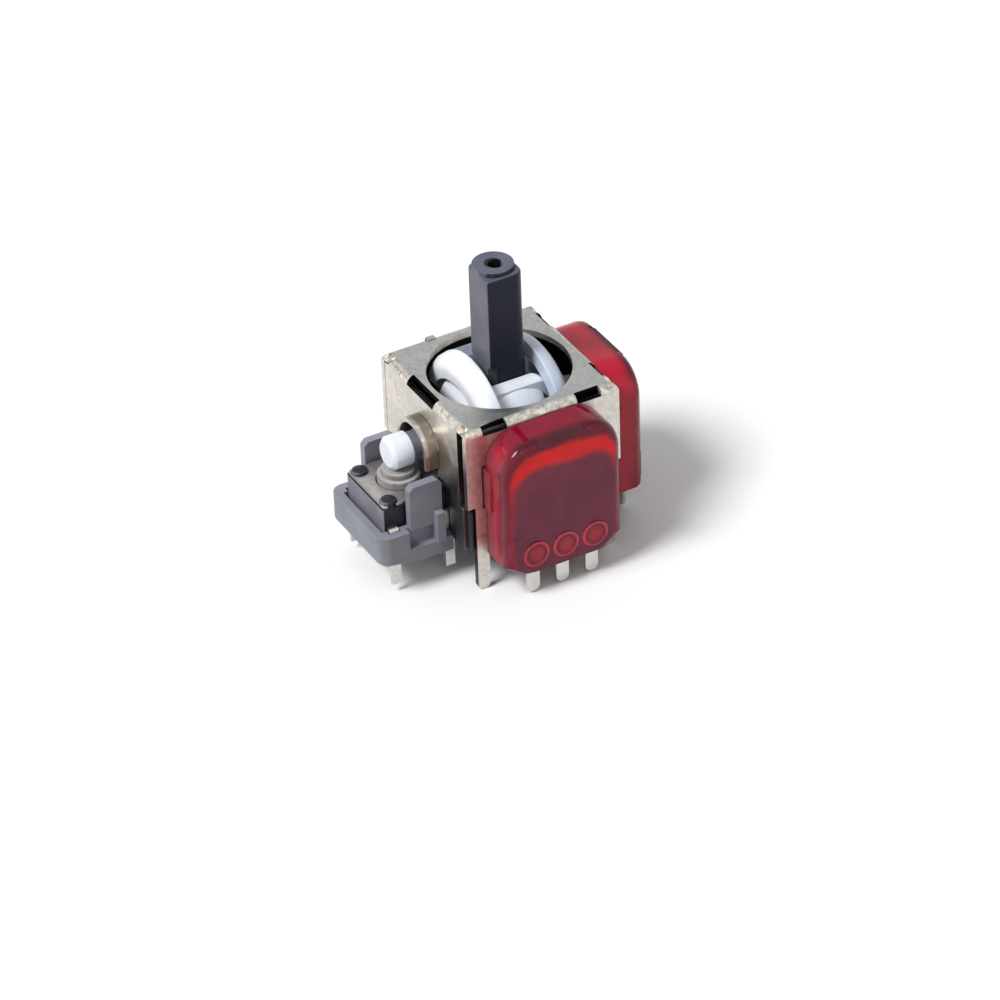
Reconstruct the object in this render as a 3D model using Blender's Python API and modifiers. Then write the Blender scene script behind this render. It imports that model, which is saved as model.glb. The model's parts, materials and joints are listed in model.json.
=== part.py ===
"""Analog stick module of a game controller: a two-axis sensor stick with a push switch.

Metres, +Z up. The origin is the middle of the base's underside, where the module sits on its board.
The front sensor faces -Y, the right sensor faces +X and the push switch stands at -X.
"""

import math

import bmesh
import bpy
from mathutils import Matrix, Vector

mm = 0.001

# Driving sizes of the folded frame
frame_width = 13.0 * mm
frame_depth = 13.0 * mm
pivot_height = 7.7 * mm
crown_height = 4.3 * mm
sheet = 0.5 * mm
fold_radius = 0.6 * mm
hole_radius = 5.47 * mm
wall_foot = 1.3 * mm
leg_reach = 2.25 * mm
leg_width = 1.02 * mm
leg_inset = 0.63 * mm
shoulder_drop = 6.75 * mm
corner_gap = 0.85 * mm
tab_gap = 0.3 * mm
tab_drop = 7.1 * mm
keyhole_radius = 0.4 * mm
fold_slot_depth = 0.65 * mm
fold_slot_near = 2.96 * mm
fold_slot_length = 2.04 * mm
left_slot_back = 2.5 * mm
left_slot_front = 1.5 * mm
collar_wall = 0.35 * mm
collar_reach = 1.8 * mm
collar_drop = 1.1 * mm
collar_seat = 0.4 * mm
back_lug_width = 0.7 * mm
back_lug_middle = 2.45 * mm
back_lug_rise = 0.25 * mm

# Gaps: still pieces keep the fit gap, moving pieces the running gap
fit_gap = 0.1 * mm
running_gap = 0.15 * mm
seam_gap = 0.04 * mm

# Shafts and arms
journal_radius = 1.3 * mm
tilt_limit = math.radians(23)
upper_arm_wall = 1.8 * mm
upper_arm_end = 0.7 * mm
upper_arm_half = 3.75 * mm
upper_arm_shoulder = 1.3 * mm
upper_slot_room = 0.67 * mm
upper_slot_front = 4.85 * mm
upper_boss_radius = 2.2 * mm
lower_arm_wall = 1.0 * mm
lower_arm_half = 2.5 * mm
lower_slot_room = 0.12 * mm
lower_slot_end = 3.2 * mm
wing_radius = 4.4 * mm
wing_half = 2.2 * mm
wing_reach = 4.1 * mm
wing_wall = 0.85 * mm
cheek_radius = 1.0 * mm
leg_boss_radius = 1.7 * mm
pin_radius = 1.325 * mm
pin_end = 9.75 * mm
pin_chamfer = 0.3 * mm
pivot_pin_radius = 0.6 * mm

# Lever
lever_width = 3.2 * mm
lever_top = 21.12 * mm
lever_shoulder = 0.7 * mm
lever_boss_radius = 1.57 * mm
lever_boss_left = 0.1 * mm
lever_boss_back = 0.2 * mm
lever_boss_height = 0.35 * mm
lever_hole_radius = 0.6 * mm
lever_hole_depth = 1.2 * mm
lever_sharp_corner = 0.15 * mm
lever_back_corner = 0.5 * mm
lever_round_corner = 0.9 * mm
neck_relief = 0.05 * mm
neck_chamfer = 0.5 * mm
neck_length = 5.5 * mm
foot_radius = 2.0 * mm
foot_wall = 0.4 * mm
foot_start = 1.3 * mm
foot_length = 3.2 * mm
flange_thick = 0.5 * mm
stem_radius = 0.75 * mm
stem_length = 1.4 * mm
plunger_flat = 0.6 * mm
spring_wire = 0.18 * mm
spring_turns = 5

# Base
floor_drop = 5.38 * mm
plinth_height = 1.2 * mm
plinth_inset = 1.0 * mm
base_drop = 2.95 * mm
base_wall = 1.1 * mm
well_corner = 1.2 * mm
lug_inset = 0.26 * mm
cradle_rise = 1.7 * mm
cradle_half = 2.3 * mm
cradle_thick = 0.95 * mm

# Sensor units, one at the front and one at the right
cover_half = 4.96 * mm
cover_depth = 2.94 * mm
cover_foot = 0.05 * mm
cover_wall = 0.5 * mm
cover_crown = 0.7 * mm
cover_corner = 2.7 * mm
cover_edge = 0.75 * mm
cover_notch_half = 2.05 * mm
pin_boss_radius = 1.07 * mm
pin_boss_ring = 0.75 * mm
pin_boss_height = 1.65 * mm
side_boss_near = 3.3 * mm
side_boss_length = 1.1 * mm
side_boss_foot = 1.4 * mm
side_boss_height = 2.2 * mm
cover_chamfer_across = 1.1 * mm
cover_chamfer_up = 0.8 * mm
hook_drop = 3.4 * mm
hook_height = 3.4 * mm
hook_width = 0.3 * mm
hook_slot_near = 0.21 * mm
hook_slot_far = 0.29 * mm
rotor_radius = 2.9 * mm
rotor_thick = 1.3 * mm
blade_length = 0.75 * mm
blade_half = 0.5 * mm
magnet_radius = 2.0 * mm
magnet_thick = 0.45 * mm
board_thick = 0.35 * mm
board_half = 4.0 * mm
board_rise = 1.2 * mm
board_corner = 1.6 * mm
terminal_pitch = 2.5 * mm
terminal_width = 1.07 * mm
terminal_thick = 0.22 * mm
terminal_reach = 2.1 * mm
terminal_root = 2.6 * mm

# Push switch and its bracket
switch_centre = 8.8 * mm
case_half_x = 2.9 * mm
case_half_y = 2.95 * mm
case_foot = 1.75 * mm
case_drop = 2.7 * mm
case_corner = 0.25 * mm
plate_thick = 0.22 * mm
post_radius = 0.65 * mm
post_height = 0.6 * mm
post_x = 2.1 * mm
post_y = 2.26 * mm
button_radius = 1.65 * mm
button_step_radius = 1.33 * mm
button_rise = 0.6 * mm
button_sink = 0.8 * mm
button_depth = 0.95 * mm
dome_thick = 0.1 * mm
dome_rise = 0.8 * mm
solder_pin_x = 2.28 * mm
solder_pin_width = 0.78 * mm
solder_pin_thick = 0.3 * mm
solder_pin_bend = 3.4 * mm
solder_pin_out = 0.45 * mm
solder_pin_reach = 1.5 * mm
bracket_gap = 0.25 * mm
bracket_wall = 0.65 * mm
bracket_floor = 1.2 * mm
bracket_top = 3.25 * mm
bracket_corner = 0.9 * mm
bracket_draft = 0.5 * mm
bracket_tab_top = 6.9 * mm
bracket_tab_foot = 3.1 * mm
bracket_tab_near = 0.65 * mm
bracket_tab_length = 2.7 * mm
bracket_tab_thick = 0.7 * mm
bracket_tab_corner = 0.35 * mm
bracket_recess_far = 3.6 * mm
bracket_recess_foot = 1.7 * mm
bracket_post_near = 0.7 * mm
bracket_post_width = 0.7 * mm
bracket_post_out = 0.25 * mm
bracket_post_top = 4.2 * mm

# Sizes that follow from the ones above
half_width = frame_width / 2
half_depth = frame_depth / 2
inner_width = half_width - sheet
inner_depth = half_depth - sheet
frame_height = pivot_height + crown_height
bearing_radius = journal_radius + running_gap
collar_inner = bearing_radius + collar_seat
collar_outer = collar_inner + collar_wall
leg_outer = half_width - leg_inset
leg_inner = leg_outer - leg_width
upper_arm_radius = inner_depth - running_gap
lower_reach = upper_arm_radius - upper_arm_end - running_gap
lever_half = lever_width / 2
lower_slot = lever_half + lower_slot_room
upper_slot = lever_half + upper_slot_room
lower_arm_radius = wing_radius + fit_gap
floor_height = pivot_height - floor_drop
base_height = pivot_height - base_drop
base_half_x = inner_width - fit_gap
base_half_y = inner_depth - fit_gap
case_left = -switch_centre - case_half_x
case_right = -switch_centre + case_half_x
case_top = pivot_height - case_drop
switch_opening = case_half_y + solder_pin_out + running_gap
plate_top = case_top + seam_gap + plate_thick
button_top = pivot_height - pin_radius - seam_gap
cover_top = pivot_height + rotor_radius + running_gap + cover_crown
terminal_plane = cover_depth - cover_wall - fit_gap - terminal_thick

arc_steps = 10
round_sides = 36


def clear_scene():
    for obj in list(bpy.data.objects):
        bpy.data.objects.remove(obj, do_unlink=True)


def new_collection(name):
    group = bpy.data.collections.new(name)
    bpy.context.scene.collection.children.link(group)
    return group


def add_object(name, mesh, group=None):
    """A new object in the parts, or a hidden helper when no group is given."""
    obj = bpy.data.objects.new(name, mesh)
    (group or helpers).objects.link(obj)
    if group is None:
        obj.hide_render = True
        obj.display_type = "WIRE"
    return obj


def mesh_from(name, bm):
    bmesh.ops.recalc_face_normals(bm, faces=bm.faces)
    mesh = bpy.data.meshes.new(name)
    bm.to_mesh(mesh)
    bm.free()
    mesh.shade_smooth()
    mesh.set_sharp_from_angle(angle=math.radians(35))
    return mesh


def block(name, x, y, z, group=None):
    """A box from three (low, high) pairs."""
    bm = bmesh.new()
    bmesh.ops.create_cube(bm, size=1)
    size = Vector((x[1] - x[0], y[1] - y[0], z[1] - z[0]))
    middle = Vector((x[0] + x[1], y[0] + y[1], z[0] + z[1])) / 2
    bmesh.ops.scale(bm, vec=size, verts=bm.verts)
    bmesh.ops.translate(bm, vec=middle, verts=bm.verts)
    return add_object(name, mesh_from(name, bm), group)


turns = {
    "X": Matrix(((0, 0, 1), (1, 0, 0), (0, 1, 0))).to_4x4(),
    "Y": Matrix(((1, 0, 0), (0, 0, -1), (0, 1, 0))).to_4x4(),
    "Z": Matrix.Identity(4),
}
forward = {"X": 1, "Y": -1, "Z": 1}


def rod(name, axis, centre, radius, low, high, group=None, end_radius=None, sides=None):
    """A cylinder or cone along an axis, from low to high on it; centre gives its other two places."""
    bm = bmesh.new()
    first, last = (radius, radius if end_radius is None else end_radius)
    if forward[axis] < 0:
        first, last = last, first
    bmesh.ops.create_cone(
        bm, cap_ends=True, segments=sides or round_sides, radius1=first, radius2=last, depth=high - low
    )
    middle = Vector((0, 0, forward[axis] * (low + high) / 2))
    place = Matrix.Translation(Vector(centre)) @ turns[axis] @ Matrix.Translation(middle)
    bmesh.ops.transform(bm, matrix=place, verts=bm.verts)
    return add_object(name, mesh_from(name, bm), group)


def ball(name, centre, radius):
    bm = bmesh.new()
    bmesh.ops.create_uvsphere(bm, u_segments=40, v_segments=24, radius=radius)
    bmesh.ops.translate(bm, vec=Vector(centre), verts=bm.verts)
    return add_object(name, mesh_from(name, bm))


def slab(name, outline, axis, low, high, group=None):
    """A flat outline made solid from low to high on an axis: (x, y) along Z, (x, z) along Y, (y, z) along X."""
    curve = bpy.data.curves.new(name, "CURVE")
    curve.dimensions = "2D"
    curve.fill_mode = "BOTH"
    curve.extrude = (high - low) / 2
    spline = curve.splines.new("POLY")
    spline.points.add(len(outline) - 1)
    for point, (across, up) in zip(spline.points, outline):
        point.co = (across, up, 0, 1)
    spline.use_cyclic_u = True
    drawn = bpy.data.objects.new(name + "_outline", curve)
    helpers.objects.link(drawn)
    middle = Vector((0, 0, forward[axis] * (low + high) / 2))
    drawn.matrix_world = turns[axis] @ Matrix.Translation(middle)
    bpy.context.view_layer.update()
    evaluated = drawn.evaluated_get(bpy.context.evaluated_depsgraph_get())
    filled = bpy.data.meshes.new_from_object(evaluated)
    bm = bmesh.new()
    bm.from_mesh(filled)
    bmesh.ops.remove_doubles(bm, verts=bm.verts, dist=1e-7)
    bmesh.ops.dissolve_limit(bm, angle_limit=0.001, verts=bm.verts, edges=bm.edges)
    bmesh.ops.transform(bm, matrix=drawn.matrix_world, verts=bm.verts)
    bpy.data.objects.remove(drawn)
    return add_object(name, mesh_from(name, bm), group)


def turned(name, profile, centre, group=None, steps=None):
    """A solid of revolution about a vertical axis; the profile holds (radius, height) pairs, top to bottom."""
    bm = bmesh.new()
    points = [bm.verts.new((radius, 0, height)) for radius, height in profile]
    for upper, lower in zip(points, points[1:]):
        bm.edges.new((upper, lower))
    mesh = bpy.data.meshes.new(name)
    bm.to_mesh(mesh)
    bm.free()
    obj = add_object(name, mesh, group)
    obj.location = centre
    screw = obj.modifiers.new("Turn", "SCREW")
    screw.steps = steps or round_sides
    screw.render_steps = screw.steps
    screw.use_merge_vertices = True
    screw.merge_threshold = 1e-7
    screw.use_smooth_shade = True
    return obj


def arc(centre, radius, start, end, steps=arc_steps):
    """Points along a circle, angles in degrees."""
    angles = [math.radians(start + (end - start) * i / steps) for i in range(steps + 1)]
    return [(centre[0] + radius * math.cos(a), centre[1] + radius * math.sin(a)) for a in angles]


def mirrored(points):
    """The points, then their mirror image across the vertical axis in the opposite order."""
    return points + [(-across, up) for across, up in reversed(points)]


def triangulate(mesh):
    """Flat triangles, which a Boolean cuts cleanly."""
    bm = bmesh.new()
    bm.from_mesh(mesh)
    bmesh.ops.triangulate(bm, faces=bm.faces)
    bm.to_mesh(mesh)
    bm.free()


def boolean(obj, other, operation):
    """The manifold solver, because the exact one leaves open edges on the arms, the frame and the base."""
    triangulate(obj.data)
    triangulate(other.data)
    modifier = obj.modifiers.new(operation.title(), "BOOLEAN")
    modifier.operation = operation
    modifier.solver = "MANIFOLD"
    modifier.object = other
    return obj


def cut(obj, *others):
    for other in others:
        boolean(obj, other, "DIFFERENCE")
    return obj


def join(obj, *others):
    for other in others:
        boolean(obj, other, "UNION")
    return obj


def trim(obj, other):
    return boolean(obj, other, "INTERSECT")


def round_edges(obj, width, segments, chosen):
    """Rounds the edges whose ends satisfy a test."""
    bm = bmesh.new()
    bm.from_mesh(obj.data)
    edges = [e for e in bm.edges if chosen(e.verts[0].co, e.verts[1].co)]
    bmesh.ops.bevel(
        bm, geom=edges, offset=width, offset_type="OFFSET", segments=segments, profile=0.5,
        affect="EDGES", clamp_overlap=True,
    )
    bm.to_mesh(obj.data)
    bm.free()
    return obj


def near(value, target):
    return abs(value - target) < 1e-6


def paint(obj, colour, roughness, metallic=0.0):
    material = bpy.data.materials.new(obj.name)
    material.use_nodes = True
    shader = material.node_tree.nodes["Principled BSDF"]
    shader.inputs["Base Color"].default_value = (*colour, 1)
    shader.inputs["Roughness"].default_value = roughness
    shader.inputs["Metallic"].default_value = metallic
    material.diffuse_color = (*colour, 1)
    obj.data.materials.clear()
    obj.data.materials.append(material)
    return obj


def joint_empty(name, place, parent=None):
    empty = bpy.data.objects.new(name, None)
    empty.empty_display_size = 1 * mm
    parts.objects.link(empty)
    empty.location = place
    if parent:
        empty.parent = parent
        bpy.context.view_layer.update()
        empty.matrix_parent_inverse = parent.matrix_world.inverted()
    bpy.context.view_layer.update()
    return empty


def carry(empty, *objects):
    for obj in objects:
        obj.parent = empty
        obj.matrix_parent_inverse = empty.matrix_world.inverted()


# The frame

def wall_outline():
    """Front and back wall in (x, z), with its two solder legs and the open bearing slot."""
    tip = -leg_reach + leg_width / 2
    leg_middle = (leg_outer + leg_inner) / 2
    half = [
        (half_width, frame_height),
        (half_width, frame_height - shoulder_drop),
        (leg_outer, frame_height - shoulder_drop),
        (leg_outer, tip),
    ]
    half += arc((leg_middle, tip), leg_width / 2, 0, -180)[1:-1]
    half += [(leg_inner, tip), (leg_inner, wall_foot), (bearing_radius, wall_foot)]
    half += arc((0, pivot_height), bearing_radius, 0, 90)[:-1]
    return mirrored(half)


def side_outline(opening):
    """Left and right wall in (y, z), given the half outline of its opening from the foot up."""
    half = [
        (inner_depth - corner_gap, frame_height),
        (inner_depth - corner_gap, frame_height - tab_drop),
        (inner_depth - tab_gap, frame_height - tab_drop),
        (inner_depth - tab_gap, wall_foot),
    ]
    return mirrored(half + opening)


def build_frame():
    top = (frame_height - sheet, frame_height)
    frame = block("frame", (-half_width, half_width), (-half_depth, half_depth), top, parts)
    front = slab("wall_front", wall_outline(), "Y", -half_depth, -inner_depth)
    back = slab("wall_back", wall_outline(), "Y", inner_depth, half_depth)
    bearing = [(bearing_radius, wall_foot)] + arc((0, pivot_height), bearing_radius, 0, 90)[:-1]
    right = slab("wall_right", side_outline(bearing), "X", inner_width, half_width)
    opening_top = case_top + post_height + fit_gap
    pin_room = solder_pin_bend + 2 * fit_gap
    case_room = case_half_y + fit_gap
    collar_opening = [(switch_opening, wall_foot), (switch_opening, pin_room), (case_room, pin_room)]
    collar_opening += [(case_room, opening_top), (collar_inner, opening_top)]
    collar_opening += arc((0, pivot_height), collar_inner, 0, 90)[:-1]
    left = slab("wall_left", side_outline(collar_opening), "X", -half_width, -inner_width)
    join(frame, front, back, right, left)

    blank = block(
        "folded_envelope", (-half_width, half_width), (-half_depth, half_depth),
        (-leg_reach - fold_radius, frame_height),
    )
    round_edges(blank, fold_radius, 3, lambda a, b: near(a.z, frame_height) and near(b.z, frame_height))
    trim(frame, blank)
    lug = sorted(-back_lug_middle + end * back_lug_width / 2 for end in (-1, 1))
    lug_up = (frame_height - sheet, frame_height + back_lug_rise)
    join(frame, block("back_lug", lug, (inner_depth - fit_gap, half_depth - fit_gap), lug_up))

    collar_foot = pivot_height - collar_drop
    ring = [(collar_outer, collar_foot)] + arc((0, pivot_height), collar_outer, 0, 90)[:-1]
    hollow = [(collar_inner, collar_foot - sheet)] + arc((0, pivot_height), collar_inner, 0, 90)[:-1]
    reach = (-half_width - collar_reach, -half_width + sheet / 2)
    collar = slab("collar", mirrored(ring), "X", *reach)
    cut(collar, slab("collar_hollow", mirrored(hollow), "X", reach[0] - sheet, reach[1] + sheet))
    join(frame, collar)

    cut(frame, rod("stick_hole", "Z", (0, 0, 0), hole_radius, top[0] - sheet, top[1] + sheet, sides=64))
    over = (frame_height - fold_slot_depth, frame_height + sheet)
    slot_far = fold_slot_near + fold_slot_length
    for side in (-1, 1):
        span = sorted((side * fold_slot_near, side * slot_far))
        cut(frame, block("fold_slot_front", span, (-half_depth - sheet, -inner_depth + fit_gap), over))
        cut(frame, block("fold_slot_right", (inner_width - fit_gap, half_width + sheet), span, over))
        for end in (-1, 1):
            across = sorted((side * (half_width + sheet), side * (inner_width - fit_gap)))
            middle = end * (inner_depth - corner_gap / 2)
            cut(frame, rod(
                "corner_keyhole", "X", (0, middle, frame_height - fit_gap), keyhole_radius, *across, sides=20
            ))
    left_span = (-left_slot_front, left_slot_back)
    cut(frame, block("fold_slot_left", (-half_width - sheet, -inner_width + running_gap), left_span, over))

    hook_slot = (frame_height - hook_drop - hook_height - 2 * fit_gap, frame_height - hook_drop + 2 * fit_gap)
    for side in (-1, 1):
        span = sorted((side * (cover_half - hook_slot_near), side * (cover_half + hook_slot_far)))
        cut(frame, block("hook_slot_front", span, (-half_depth - sheet, -inner_depth + sheet), hook_slot))
        cut(frame, block("hook_slot_right", (inner_width - sheet, half_width + sheet), span, hook_slot))
    return paint(frame, (0.60, 0.59, 0.57), 0.38, 1.0)


# The base

def base_footprint(lug):
    """Outline of the base body in (x, y), with a lug at each corner that fills the gap between the walls."""
    beside_leg = leg_outer + fit_gap
    beside_tab = inner_depth - tab_gap + fit_gap
    corner = [
        (base_half_x, beside_tab), (lug, beside_tab), (lug, lug + half_depth - half_width),
        (beside_leg, lug + half_depth - half_width), (beside_leg, base_half_y),
    ]
    back = mirrored(corner)
    return back + [(across, -up) for across, up in reversed(back)]


def bearing_tongue(axis, side, inner, outer):
    """A tongue that fills a wall's open slot under the journal and carries it; it narrows above the base."""
    half = bearing_radius - fit_gap
    pieces = []
    for reach, up in (
        (inner - 2 * fit_gap, (plinth_height, base_height)),
        (inner, (base_height - fit_gap, pivot_height - 2 * running_gap)),
    ):
        along = sorted((side * reach, side * outer))
        spans = ((-half, half), along) if axis == "Y" else (along, (-half, half))
        pieces.append(block("tongue", *spans, up))
    return pieces


def build_base():
    lug = half_width - lug_inset
    base = slab("base", base_footprint(lug), "Z", plinth_height, base_height, parts)
    plinth_x = base_half_x - plinth_inset
    plinth_y = base_half_y - plinth_inset
    plinth = block("plinth", (-plinth_x, plinth_x), (-plinth_y, plinth_y), (0, plinth_height + fit_gap))
    join(base, plinth)
    for side in (-1, 1):
        join(base, *bearing_tongue("Y", side, inner_depth, half_depth - fit_gap))
    join(base, *bearing_tongue("X", 1, base_half_x - fit_gap, half_width - fit_gap))
    cradle = (base_half_x - cradle_thick, base_half_x)
    join(base, block(
        "cradle", cradle, (-cradle_half, cradle_half), (base_height - fit_gap, pivot_height + cradle_rise)
    ))
    well_x = base_half_x - base_wall
    well_y = base_half_y - base_wall
    well = block("well", (-well_x, well_x), (-well_y, well_y), (floor_height, pivot_height))
    round_edges(well, well_corner, 3, lambda a, b: near(a.x, b.x) and near(a.y, b.y))
    through = half_depth + sheet
    bed_radius = journal_radius + fit_gap
    bed_y = rod("bed_y", "Y", (0, 0, pivot_height), bed_radius, -through, through)
    bed_x = rod("bed_x", "X", (0, 0, pivot_height), bed_radius, base_half_x - 2 * base_wall, half_width + sheet)
    open_top = block(
        "bed_mouth", (base_half_x - 2 * base_wall, half_width + sheet), (-bed_radius, bed_radius),
        (pivot_height, pivot_height + cradle_rise + sheet),
    )
    room = block(
        "switch_room", (-half_width, case_right + fit_gap), (-switch_opening, switch_opening),
        (plinth_height - sheet, base_height + sheet),
    )
    cut(base, well, bed_y, bed_x, open_top, room)
    return paint(base, (0.03, 0.03, 0.035), 0.45)


# The arms

def drive_blade(name, axis, side, wall):
    """The flat end of a journal that turns the rotor; axis Y with side -1 at the front, axis X with side 1."""
    reach = sorted((side * (wall - sheet), side * (wall + blade_length)))
    high = journal_radius - 2 * fit_gap
    if axis == "Y":
        return block(name, (-blade_half, blade_half), reach, (pivot_height - high, pivot_height + high))
    return block(name, reach, (-blade_half, blade_half), (pivot_height - high, pivot_height + high))


def build_upper_arm():
    """A drum-shaped arch over the lever that turns about Y; the lever slides along its slot."""
    half, shoulder = upper_arm_half, upper_arm_shoulder
    arm = rod("upper_arm", "X", (0, 0, pivot_height), upper_arm_radius, -half, half, parts, sides=48)
    round_edges(arm, shoulder, 4, lambda a, b: near(a.x, b.x))
    inner = upper_arm_radius - upper_arm_wall
    under = [(inner, -2 * upper_arm_radius)] + arc((0, 0), inner, 0, 90, 14)[:-1]
    under = [(a, u + pivot_height) for a, u in mirrored(under)]
    cut(arm, slab("arch_hollow", under, "X", -half_width, half_width))
    # The cheeks taper from the arch to a round boss at each journal
    boss_side = arc((0, pivot_height), upper_boss_radius, 0, -90, 8)
    taper = [(upper_arm_half, frame_height * 2), (upper_arm_half, pivot_height + upper_boss_radius)]
    taper += boss_side[:-1]
    trim(arm, slab("cheek_taper", mirrored(taper), "Y", -half_depth, half_depth))
    for side in (-1, 1):
        cheek = sorted((side * (upper_arm_radius - upper_arm_end), side * (inner_depth - fit_gap)))
        join(arm, rod("cheek_boss", "Y", (0, 0, pivot_height), upper_boss_radius, *cheek))
    cut(arm, ball("lower_arm_room", (0, 0, pivot_height), upper_arm_radius - upper_arm_end))
    slot_end = slot_reach(upper_arm_radius)
    cut(arm, block(
        "upper_slot", (-upper_slot, upper_slot), (-upper_slot_front, slot_end), (pivot_height, 2 * frame_height)
    ))
    for side in (-1, 1):
        reach = half_depth + fit_gap
        along = sorted((side * (upper_arm_radius - fit_gap), side * reach))
        join(arm, rod("journal", "Y", (0, 0, pivot_height), journal_radius, *along))
    join(arm, drive_blade("front_blade", "Y", -1, half_depth))
    return paint(arm, (0.80, 0.81, 0.84), 0.4)


def slot_reach(radius):
    """Half the length of a slot at that radius, for the lever's half width at the tilt limit."""
    return lever_half * math.cos(tilt_limit) + radius * math.sin(tilt_limit) + running_gap / 2


def wing_outline():
    """The barrel-shaped wings in (y, z), a ring about the X axis."""
    start = math.degrees(math.acos(wing_reach / wing_radius))
    outer = arc((0, pivot_height), lower_arm_radius, start, 180 - start, 16)
    inner = arc((0, pivot_height), wing_radius - wing_wall, start, 180 - start, 16)
    return outer + inner[::-1]


def build_lower_arm():
    """An arch in the X-Z plane that turns about X, with two barrel wings; the lever hangs in it on a pin."""
    outer = lower_arm_radius
    inner = outer - lower_arm_wall
    arch = [(outer, pivot_height - leg_boss_radius)] + arc((0, pivot_height), outer, 0, 90, 14)[:-1]
    hollow = [(inner, pivot_height - 2 * leg_boss_radius)] + arc((0, pivot_height), inner, 0, 90, 14)[:-1]
    arm = slab("lower_arm", mirrored(arch), "Y", -lower_arm_half, lower_arm_half, parts)
    cut(arm, slab("lower_hollow", mirrored(hollow), "Y", -half_depth, half_depth))
    leg_top = pivot_height + 1.2 * leg_boss_radius
    leg = [(half_depth, 2 * frame_height), (half_depth, leg_top), (lower_arm_half, leg_top)]
    leg += arc((0, pivot_height), leg_boss_radius, 0, -90, 8)[:-1]
    trim(arm, slab("leg_taper", mirrored(leg), "X", -half_width, half_width))
    for side in (-1, 1):
        span = sorted((side * lower_slot, side * lower_arm_half))
        along = (-inner - lower_arm_wall / 2, inner + lower_arm_wall / 2)
        cheek_up = (pivot_height - cheek_radius, pivot_height + cheek_radius)
        join(arm, block("cheek", along, span, cheek_up))
    trim(arm, rod("barrel", "X", (0, 0, pivot_height), lower_arm_radius, -half_width, half_width, sides=56))
    wings = slab("wings", wing_outline(), "X", -wing_half, wing_half)
    join(arm, trim(wings, ball("wing_envelope", (0, 0, pivot_height), wing_radius)))
    trim(arm, ball("swing_envelope", (0, 0, pivot_height), lower_reach))
    cut(arm, block(
        "lower_slot", (-lower_slot_end, lower_slot_end), (-lower_slot, lower_slot),
        (pivot_height + cheek_radius, 2 * frame_height),
    ))
    bore = rod("pin_bore", "Y", (0, 0, pivot_height), pivot_pin_radius + seam_gap, -half_depth, half_depth, sides=24)
    cut(arm, bore)
    join(arm, rod(
        "right_journal", "X", (0, 0, pivot_height), journal_radius, outer - lower_arm_wall / 2, half_width + fit_gap
    ))
    join(arm, drive_blade("right_blade", "X", 1, half_width))
    shank = rod("pin_shank", "X", (0, 0, pivot_height), pin_radius, -pin_end, -outer + lower_arm_wall / 2)
    round_edges(shank, pin_chamfer, 1, lambda a, b: near(a.x, -pin_end) and near(b.x, -pin_end))
    join(arm, shank)
    return paint(arm, (0.80, 0.81, 0.84), 0.4)


# The lever

def lever_outline():
    """The shaft's section in (x, y); its corners are unequal, one of them sharp."""
    h = lever_half
    r, b, s = lever_round_corner, lever_back_corner, lever_sharp_corner
    points = arc((h - r, h - r), r, 0, 90, 6)
    points += arc((-h + b, h - b), b, 90, 180, 4)
    points += arc((-h + s, -h + s), s, 180, 270, 2)
    points += arc((h - r, -h + r), r, 270, 360, 6)
    return points


def build_lever():
    shaft_top = lever_top - lever_boss_height
    neck_top = pivot_height + neck_length
    lever = slab("lever", lever_outline(), "Z", neck_top, shaft_top, parts)
    round_edges(lever, lever_shoulder, 3, lambda a, b: near(a.z, shaft_top) and near(b.z, shaft_top))
    h, c = lever_half, neck_chamfer
    side = h - neck_relief
    corner = [(side, h - c), (side - c, h)]
    neck_points = mirrored(corner)
    neck_points += [(across, -up) for across, up in reversed(neck_points)]
    join(lever, slab("neck", neck_points, "Z", pivot_height - foot_start - fit_gap, neck_top + fit_gap))
    foot_top = pivot_height - foot_start
    foot = rod("foot", "Z", (0, 0, 0), foot_radius, foot_top - foot_length, foot_top)
    join(lever, foot)
    boss_low = shaft_top - lever_shoulder
    boss = rod("top_boss", "Z", (-lever_boss_left, lever_boss_back, 0), lever_boss_radius, boss_low, lever_top)
    flush = block("flush_side", (-lever_half, lever_half), (-lever_half, lever_half + sheet), (0, 2 * lever_top))
    join(lever, trim(boss, flush))
    hollow_top = foot_top - foot_wall
    hollow = rod("spring_room", "Z", (0, 0, 0), foot_radius - foot_wall, foot_top - foot_length - sheet, hollow_top)
    hole = rod(
        "top_hole", "Z", (0, 0, 0), lever_hole_radius, lever_top - lever_hole_depth, lever_top + sheet, sides=24
    )
    bore = rod("lever_bore", "Y", (0, 0, pivot_height), pivot_pin_radius + seam_gap, -half_depth, half_depth, sides=24)
    cut(lever, hollow, hole, bore)
    return paint(lever, (0.10, 0.10, 0.12), 0.42)


def build_lever_pin():
    length = lower_arm_half - seam_gap
    pin = rod("lever_pin", "Y", (0, 0, pivot_height), pivot_pin_radius, -length, length, parts, sides=24)
    return paint(pin, (0.70, 0.70, 0.72), 0.3, 1.0)


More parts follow.
